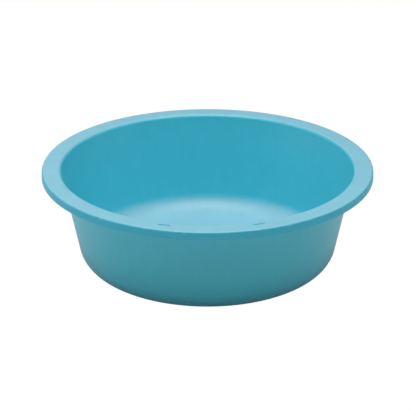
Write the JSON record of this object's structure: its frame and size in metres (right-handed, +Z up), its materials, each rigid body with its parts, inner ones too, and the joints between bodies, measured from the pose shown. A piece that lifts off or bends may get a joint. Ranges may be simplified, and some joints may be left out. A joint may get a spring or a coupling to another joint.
{
  "type": "wash bowl",
  "caption": "Round wash bowl with a wide flat rim turned down into a lip, tapering sides, a rounded corner, a flat floor and a low ring foot, moulded in one piece of teal polypropylene.",
  "frame": {"origin": "middle of the circle that the foot stands on, on the ground", "axes": "+Z up along the bowl's axis, front (the sunk panels in the rim) towards -Y"},
  "size_m": [0.3299, 0.33, 0.1028],
  "materials": {
    "polypropylene": "satin"
  },
  "bodies": {
    "root": {"bowl": "polypropylene"}
  },
  "joints": []
}
